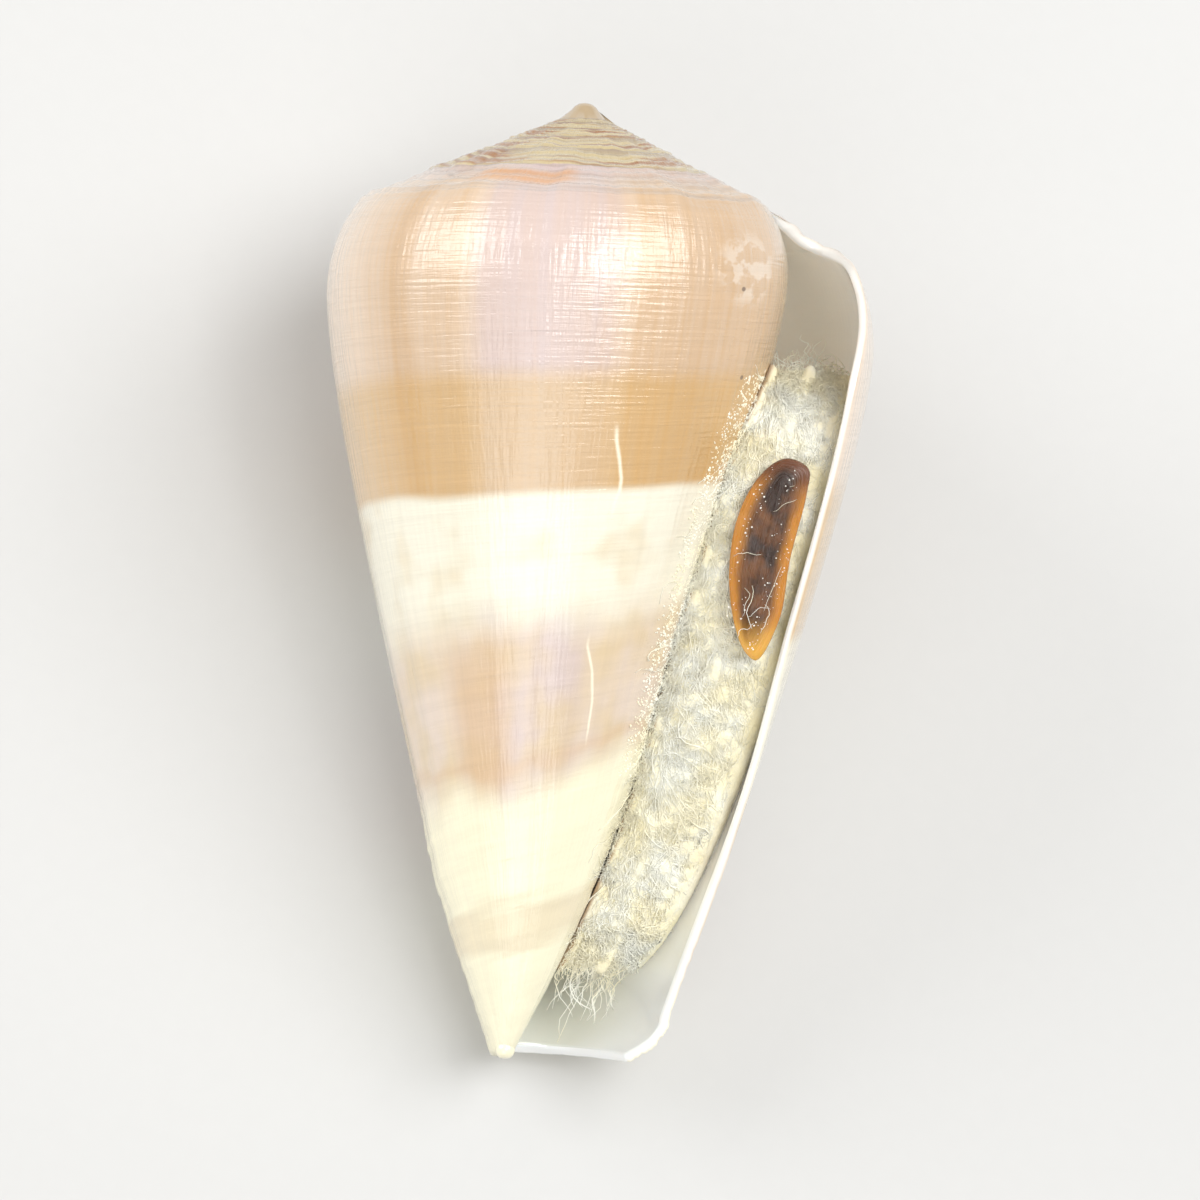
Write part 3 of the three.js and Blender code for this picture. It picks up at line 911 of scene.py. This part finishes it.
def cotton_point(u, v, w):
    """u across from the columella to the lip, v down the aperture, w out to the front."""
    depth = lerp(COTTON_TOP, COTTON_BOTTOM, v)
    taper = np.abs(2 * v - 1) ** 6
    front = lip_turn(depth) + lerp(0.018, -0.012, u) - 0.05 * taper
    front = front + (WALL_RECESS + 0.012) * u ** 10
    turn = lerp(COTTON_BACK, front, w)
    inner, outer = cavity_span(turn, depth, SNUG)
    outer = np.maximum(outer, inner + 0.05)
    points = place(turn, lerp(inner, outer, u), depth)
    tufts = 0.2 * lattice(depth * 0.9, u * 4, 21) + 0.15 * lattice(depth * 2.6, u * 9, 22)
    swell = np.sin(np.pi * u) * COTTON_BULGE * (1 - taper)
    points[..., 1] -= w ** 3 * (swell + tufts * np.minimum(1, 6 * np.sin(np.pi * u)))
    ragged = np.abs(2 * v - 1) ** 12 * w ** 4 * (1 - u ** 4)
    points[..., 2] += ragged * np.sign(0.5 - v) * 0.5 * lattice(u * 7, w * 5, 23)
    return points


def core_mesh():
    """A closed block of cells bent into the wad's shape."""
    nu, nv, nw = CORE_CELLS
    u, v, w = np.meshgrid(*(np.linspace(0, 1, n + 1) for n in CORE_CELLS), indexing="ij")
    points = cotton_point(u, v, w).reshape(-1, 3)
    number = np.arange(len(points)).reshape(nu + 1, nv + 1, nw + 1)
    sides = [number[:, :, 0], number[:, :, nw].T, number[0], number[nu].T,
             number[:, 0].T, number[:, nv]]
    used, faces = np.unique(np.concatenate([cells(side) for side in sides]), return_inverse=True)
    mesh = new_mesh("cotton_core", points[used], faces.reshape(-1, 4).tolist())
    attach(mesh, "across", "POINT", u.ravel()[used])
    return mesh


BEHIND = 9.0  # y of what lies behind everything


def front_of(x, depth, over_plate=False):
    """y of the front that loose fibres lie on: the body, the cotton and, if asked, the plate."""
    x, depth = np.asarray(x, float), np.asarray(depth, float)
    v = np.clip((depth - COTTON_TOP) / (COTTON_BOTTOM - COTTON_TOP), -0.03, 1.03)
    samples = np.linspace(0, 1, 9)
    path = np.stack([cotton_point(np.full(depth.shape, u), v, np.ones(depth.shape))
                     for u in samples])
    cotton = path[-1, ..., 1]
    for k in range(len(samples) - 2, -1, -1):
        left, right = path[k, ..., 0], path[k + 1, ..., 0]
        share = unit((x - left) / np.maximum(right - left, 1e-3))
        height = lerp(path[k, ..., 1], path[k + 1, ..., 1], share)
        cotton = np.where(x < right, height, cotton)
    turn = np.full(depth.shape, -0.9)
    for _ in range(4):
        radius = outer_radius(turn, depth)
        turn = -1 + np.arccos(np.clip((x - bend(depth)) / radius, -1, 0.9999)) / (2 * np.pi)
    on_body = (x - bend(depth) < radius * 0.999) & (turn > -0.999)
    body = np.where(on_body, -np.abs(radius * np.sin(2 * np.pi * turn)), BEHIND)
    front = np.minimum(np.where(x < path[0, ..., 0] - 0.05, BEHIND, cotton), body)
    if not over_plate:
        return front
    ox, oz = x - PLATE_MIDDLE[0], -depth - PLATE_MIDDLE[2]
    lean = math.radians(PLATE_TILT)
    across = ox * math.cos(lean) - oz * math.sin(lean) + 0.8
    along = ox * math.sin(lean) + oz * math.cos(lean)
    over = 1 - smooth((across / 1.7) ** 2 + (along / 5.5) ** 2, 0.75, 1.1)
    plate = PLATE_MIDDLE[1] - 0.62 * PLATE_THICKNESS
    return lerp(front, np.minimum(front, plate), over)


FIBRE_STEPS = 8
FIBRE_SIDES = 3


def wall_face(depth):
    """x of the lip's inner face at the front of the cotton."""
    turn = lip_turn(depth) + WALL_RECESS
    return place(turn, cavity_span(turn, depth, SNUG)[1], depth)[..., 0]


def tube_mesh(name, paths, radii):
    """Closed tubes with tapered ends along many paths at once."""
    count, points, _ = paths.shape
    ahead = np.gradient(paths, axis=1)
    ahead /= np.linalg.norm(ahead, axis=-1, keepdims=True) + 1e-9
    side = np.cross(ahead, np.array([0.31, -0.9, 0.2]))
    side /= np.linalg.norm(side, axis=-1, keepdims=True) + 1e-9
    other = np.cross(ahead, side)
    taper = np.sin(np.linspace(0.25, np.pi - 0.25, points)) ** 0.4
    radius = radii[:, None, None] * taper[None, :, None]
    rings = []
    for k in range(FIBRE_SIDES):
        angle = 2 * np.pi * k / FIBRE_SIDES
        rings.append(paths + radius * (math.cos(angle) * side + math.sin(angle) * other))
    vertices = np.stack(rings, 2)
    number = np.arange(count * points * FIBRE_SIDES).reshape(count, points, FIBRE_SIDES)
    after = np.roll(number, -1, axis=2)
    quads = np.stack([number[:, :-1], after[:, :-1], after[:, 1:], number[:, 1:]], -1)
    faces = [*quads.reshape(-1, 4).tolist(), *number[:, 0, ::-1].tolist(),
             *number[:, -1].tolist()]
    return new_mesh(name, vertices.reshape(-1, 3), faces)


def x_and_depth(points):
    return np.stack([points[:, 0], -points[:, 2]], 1)


def fibre_paths(rng, start, heading, length, curl, lift, over_plate=False):
    """Curly paths over the front: start is (x, depth), heading is turned from straight down."""
    count = len(start)
    s = np.linspace(0, 1, FIBRE_STEPS + 1)[None]
    wave = 0
    for waves, share in ((0.6, 1.0), (1.5, 0.7), (3.1, 0.35)):
        phase = rng.uniform(0, 2 * np.pi, (count, 1))
        swing = share * rng.normal(0, 1, (count, 1))
        wave = wave + swing * np.sin(2 * np.pi * waves * s + phase)
    angle = heading[:, None] + curl * wave
    step = length[:, None] / FIBRE_STEPS
    x = start[:, :1] + np.cumsum(np.sin(angle) * step, 1)
    depth = start[:, 1:] + np.cumsum(np.cos(angle) * step, 1)
    x = np.minimum(x, wall_face(depth) - 0.04)
    arch = np.sin(np.pi * s * rng.uniform(0.6, 1.6, (count, 1)))
    height = lift[:, None] * (0.25 + rng.uniform(0, 1, (count, 1)) * arch)
    return np.stack([x, front_of(x, depth, over_plate) - np.maximum(height, 0.02), -depth], -1)


# Each tuft: count, ranges of u and v, heading and its spread in degrees, range of length,
# curl, lift, and range of radius
TUFTS = {
    "cotton_fibres_upper": (
        1700, (0.05, 0.97), (0.0, 0.5), (14, 40), (1.5, 4.5), 0.6, 0.14, (0.015, 0.03)),
    "cotton_fibres_lower": (
        1700, (0.05, 0.97), (0.5, 1.0), (14, 40), (1.5, 4.5), 0.6, 0.14, (0.015, 0.03)),
    "cotton_locks": (
        1300, (0.06, 0.96), (0.0, 1.0), (14, 36), (1.4, 4.0), 0.5, 0.1, (0.03, 0.05)),
    "cotton_fringe": (
        2200, (0.0, 0.1), (0.05, 0.85), (-50, 60), (0.3, 0.9), 1.3, 0.14, (0.014, 0.026)),
    "cotton_wisps": (
        900, (0.1, 1.0), (0.0, 0.07), (175, 45), (0.8, 2.2), 1.1, 0.4, (0.012, 0.024)),
    "cotton_frayed_end": (
        900, (0.0, 1.0), (0.93, 1.0), (0, 60), (0.4, 1.1), 1.2, 0.3, (0.016, 0.034)),
    "cotton_loops": (
        160, (0.2, 0.9), (0.05, 0.97), (10, 60), (2.0, 4.5), 1.4, 0.4, (0.014, 0.024)),
}


def clear_of_lip(points):
    """Whether each point is in front of the lip's edge or within its wall."""
    depth = -points[..., 2]
    x, y = points[..., 0] - bend(depth), points[..., 1]
    turn = -np.arctan2(y, x) / (2 * np.pi)
    outside = np.hypot(x, y) > outer_radius(turn, depth) - LIP_WALL
    return ~(outside & (turn < lip_turn(depth)))


LARGEST_JUMP = 0.6  # a fibre that would step further off its ground is left out


def make_tuft(name, tuft, seed, material):
    count, across, down, (heading, spread), lengths, curl, lift, thickness = tuft
    rng = np.random.default_rng(seed)
    u, v = rng.uniform(*across, count), rng.uniform(*down, count)
    start = x_and_depth(cotton_point(u, v, np.ones(count)))
    headings = np.radians(heading + spread * rng.normal(0, 1, count))
    length = rng.uniform(*lengths, count)
    paths = fibre_paths(rng, start, headings, length, curl, lift * rng.uniform(0.1, 1, count))
    radii = rng.uniform(*thickness, count)
    lies = np.abs(np.diff(paths[..., 1], axis=1)).max(1) < LARGEST_JUMP
    lies &= clear_of_lip(paths).all(1)
    paths, radii = paths[lies], radii[lies]
    add_piece(name, tube_mesh(name, paths, radii), material, "cotton")


def closed_curve(points, steps):
    """A centripetal Catmull-Rom curve through points and back to the first."""
    points = np.asarray(points, float)
    count = len(points)
    curve = []
    for i in range(count):
        p = [points[(i + k) % count] for k in (-1, 0, 1, 2)]
        knots = [0.0]
        for a, b in zip(p, p[1:]):
            knots.append(knots[-1] + math.sqrt(np.linalg.norm(b - a)))
        for t in np.linspace(knots[1], knots[2], steps, endpoint=False):
            row = list(p)
            for spans in (((0, 1), (1, 2), (2, 3)), ((0, 2), (1, 3)), ((1, 2),)):
                row = [lerp(a, b, (t - knots[low]) / (knots[high] - knots[low]))
                       for (low, high), a, b in zip(spans, row, row[1:])]
            curve.append(row[0])
    return np.array(curve)


def operculum_place(x, y, z):
    """A point of the plate: x is towards the lip, y towards the apex and z out."""
    lean = math.radians(PLATE_TILT)
    return np.stack([PLATE_MIDDLE[0] + x * math.cos(lean) + y * math.sin(lean),
                     PLATE_MIDDLE[1] - z,
                     PLATE_MIDDLE[2] - x * math.sin(lean) + y * math.cos(lean)], -1)


def operculum_height(inset, x, y):
    half = PLATE_THICKNESS / 2
    dome = np.interp(inset, (0, 0.02, 0.06, 0.14, 0.35, 1), (0, 0.45, 0.75, 0.92, 0.85, 0.5))
    lines = 0.014 * np.sin(inset * 40 + lattice(x * 1.5, y * 0.6, 31)) * smooth(inset, 0.02, 0.2)
    return half * dome + lines + 0.03 * lattice(x * 1.2, y * 0.9, 32) * smooth(inset, 0, 0.3)


def operculum_mesh():
    rim = closed_curve(PLATE_OUTLINE, 14)
    middle = np.array([-0.8, 0.0])
    middles = middle + np.stack([0 * rim[:, 0], rim[:, 1] * 0.72], 1)
    insets = np.array([0, 0.02, 0.05, 0.09, 0.14, 0.2, 0.28, 0.37, 0.47, 0.58, 0.7, 0.82, 0.93, 1])
    rows, marks = [], []
    for side in (-1, 1):
        for inset in insets[::-1][:-1] if side < 0 else insets:
            flat = lerp(rim, middles, inset)
            height = operculum_height(inset, flat[:, 0], flat[:, 1])
            z = height if side > 0 else -PLATE_THICKNESS / 2 * min(1, inset / 0.06)
            rows.append(operculum_place(flat[:, 0], flat[:, 1], z + 0 * height))
            marks.append(np.stack([inset + 0 * height, flat[:, 1]], 1))
    rows, marks = np.array(rows), np.array(marks)
    count = len(rim)
    number = np.arange(rows.shape[0] * count).reshape(rows.shape[0], count)
    after = np.roll(number, -1, axis=1)
    faces = np.stack([number[:-1], number[1:], after[1:], after[:-1]], -1).reshape(-1, 4).tolist()
    for row, flip in ((number[0], 1), (number[-1], -1)):
        # The innermost ring is a thin loop, closed across its width
        half = count // 2
        top = int(np.argmax(marks[0, :, 1]))
        left = [int(row[(top + k) % count]) for k in range(half + 1)]
        right = [int(row[(top - k) % count]) for k in range(count - half + 1)]
        for k in range(half):
            quad = list(dict.fromkeys((left[k], left[k + 1], right[k + 1], right[k])))
            if len(quad) > 2:
                faces.append(quad[::flip])
    mesh = new_mesh("operculum_plate", rows.reshape(-1, 3), faces)
    attach(mesh, "inset", "POINT", marks[..., 0].ravel())
    attach(mesh, "along", "POINT", marks[..., 1].ravel())
    return mesh


CRUMBS = 2400  # small lumps of cotton, along its edge on the whorl
GRAINS_ON_PLATE = 130
PLATE_FIBRES = 15


def plate_spots(rng, count, edge):
    """Random places on the operculum's front. edge draws them out towards the rim."""
    along = rng.uniform(-5.0, 5.0, count)
    half = 1.55 * np.sqrt(1 - (along / 5.6) ** 2)
    side = rng.uniform(-1, 1, count)
    side = np.sign(side) * np.abs(side) ** edge
    return -0.85 + 0.95 * half * side, along


def grain_mesh(name, centres, radii, rng):
    """Small rough lumps, each an icosahedron pulled about."""
    phi = (1 + math.sqrt(5)) / 2
    corners = np.array([(-1, phi, 0), (1, phi, 0), (-1, -phi, 0), (1, -phi, 0), (0, -1, phi),
                        (0, 1, phi), (0, -1, -phi), (0, 1, -phi), (phi, 0, -1), (phi, 0, 1),
                        (-phi, 0, -1), (-phi, 0, 1)]) / math.hypot(1, phi)
    faces = [(0, 11, 5), (0, 5, 1), (0, 1, 7), (0, 7, 10), (0, 10, 11), (1, 5, 9), (5, 11, 4),
             (11, 10, 2), (10, 7, 6), (7, 1, 8), (3, 9, 4), (3, 4, 2), (3, 2, 6), (3, 6, 8),
             (3, 8, 9), (4, 9, 5), (2, 4, 11), (6, 2, 10), (8, 6, 7), (9, 8, 1)]
    vertices, triangles = [], []
    for centre, radius in zip(centres, radii):
        rough = corners * rng.uniform(0.7, 1.2, (12, 1)) * radius
        triangles += [[len(vertices) + c for c in face] for face in faces]
        vertices += (centre + rough).tolist()
    mesh = new_mesh(name, vertices, triangles)
    mesh.shade_flat()
    return mesh


FLOOR_HALF = 1.5  # metres


def make_floor():
    mesh = bpy.data.meshes.new("floor")
    corners = [(-1, -1, 0), (1, -1, 0), (1, 1, 0), (-1, 1, 0)]
    mesh.from_pydata([[FLOOR_HALF * c for c in corner] for corner in corners], [], [(0, 1, 2, 3)])
    material = plain_material("floor", srgb(204, 204, 203), 0.9, 0.02)
    mesh.materials.append(material)
    add_object("floor", mesh)


def area_light(name, direction, distance, width, height, power):
    """A soft panel in a direction of the shell's frame."""
    data = bpy.data.lights.new(name, "AREA")
    data.shape = "RECTANGLE"
    data.size, data.size_y = width, height
    data.energy = power
    light = add_object(name, data)
    middle = LAY @ Vector((0, 0, -12))
    toward = (LAY.to_3x3() @ Vector(direction)).normalized()
    light.location = middle * MM + toward * distance
    up = LAY.to_3x3() @ Vector((0, 0, 1))
    across = up.cross(toward).normalized()
    turn = Matrix((across, toward.cross(across), toward)).transposed()
    light.rotation_mode = "QUATERNION"
    light.rotation_quaternion = turn.to_quaternion()


def make_light():
    area_light("left_window", (-0.78, -0.48, 0.4), 0.40, 0.30, 0.26, 0.85)
    area_light("right_window", (0.62, -0.66, 0.4), 0.40, 0.30, 0.28, 1.0)
    area_light("low_fill", (-0.2, -0.80, -0.6), 0.6, 0.45, 0.45, 0.7)
    area_light("mouth_fill", (0.3, -0.94, 0.12), 0.5, 0.22, 0.22, 0.78)
    world = bpy.data.worlds.new("world")
    world.use_nodes = True
    background = world.node_tree.nodes["Background"]
    background.inputs["Color"].default_value = (1, 0.985, 0.95, 1)
    background.inputs["Strength"].default_value = 0.5
    bpy.context.scene.world = world
    bpy.context.scene.view_settings.view_transform = "Standard"


def make_shell():
    add_piece("shell_body", outward(shell_mesh()), shell_material(), "shell")


def make_cotton():
    wool = cotton_material("cotton_wool", srgb(255, 252, 232), srgb(250, 242, 206), True)
    core = add_piece("cotton_core", outward(core_mesh()), wool, "cotton")
    loose = cotton_material("cotton_fibre", srgb(255, 255, 244), srgb(254, 248, 220), False)
    for seed, (name, tuft) in enumerate(TUFTS.items(), 100):
        make_tuft(name, tuft, seed, loose)
    make_crumbs(loose)
    return loose


def make_crumbs(material):
    rng = np.random.default_rng(5)
    v = 0.02 + 0.66 * rng.uniform(0, 1, CRUMBS) ** 1.3
    edge = cotton_point(np.zeros(CRUMBS), v, np.ones(CRUMBS))
    x = edge[:, 0] + 0.1 - 1.4 * rng.beta(1.3, 2.4, CRUMBS)
    centres = np.stack([x, front_of(x, -edge[:, 2]) - 0.02, edge[:, 2]], -1)
    radii = 0.03 + 0.06 * rng.uniform(0, 1, CRUMBS) ** 2
    mesh = grain_mesh("cotton_crumbs", centres, radii, rng)
    add_piece("cotton_crumbs", mesh, material, "cotton")


def make_operculum(fibre_material):
    plate = outward(operculum_mesh())
    add_piece("operculum_plate", plate, operculum_material(), "operculum")
    rng = np.random.default_rng(7)
    x, y = plate_spots(rng, GRAINS_ON_PLATE, 0.5)
    half = PLATE_THICKNESS / 2
    centres = operculum_place(x, y, 0.9 * half + 0 * x)
    white = plain_material("salt", srgb(250, 246, 236), 0.3, 0.2)
    radii = 0.022 + 0.045 * rng.uniform(0, 1, len(x)) ** 3
    mesh = grain_mesh("operculum_grains", centres, radii, rng)
    add_piece("operculum_grains", mesh, white, "operculum")
    x, y = plate_spots(rng, PLATE_FIBRES, 0.8)
    start = x_and_depth(operculum_place(x, y, 0 * x))
    paths = fibre_paths(rng, start, rng.uniform(0, 2 * np.pi, len(x)),
                        rng.uniform(1.2, 3.6, len(x)), 0.5, rng.uniform(0.02, 0.15, len(x)),
                        over_plate=True)
    mesh = tube_mesh("operculum_fibres", paths, rng.uniform(0.010, 0.02, len(x)))
    add_piece("operculum_fibres", mesh, fibre_material, "operculum")


make_shell()
make_operculum(make_cotton())
make_floor()
make_light()
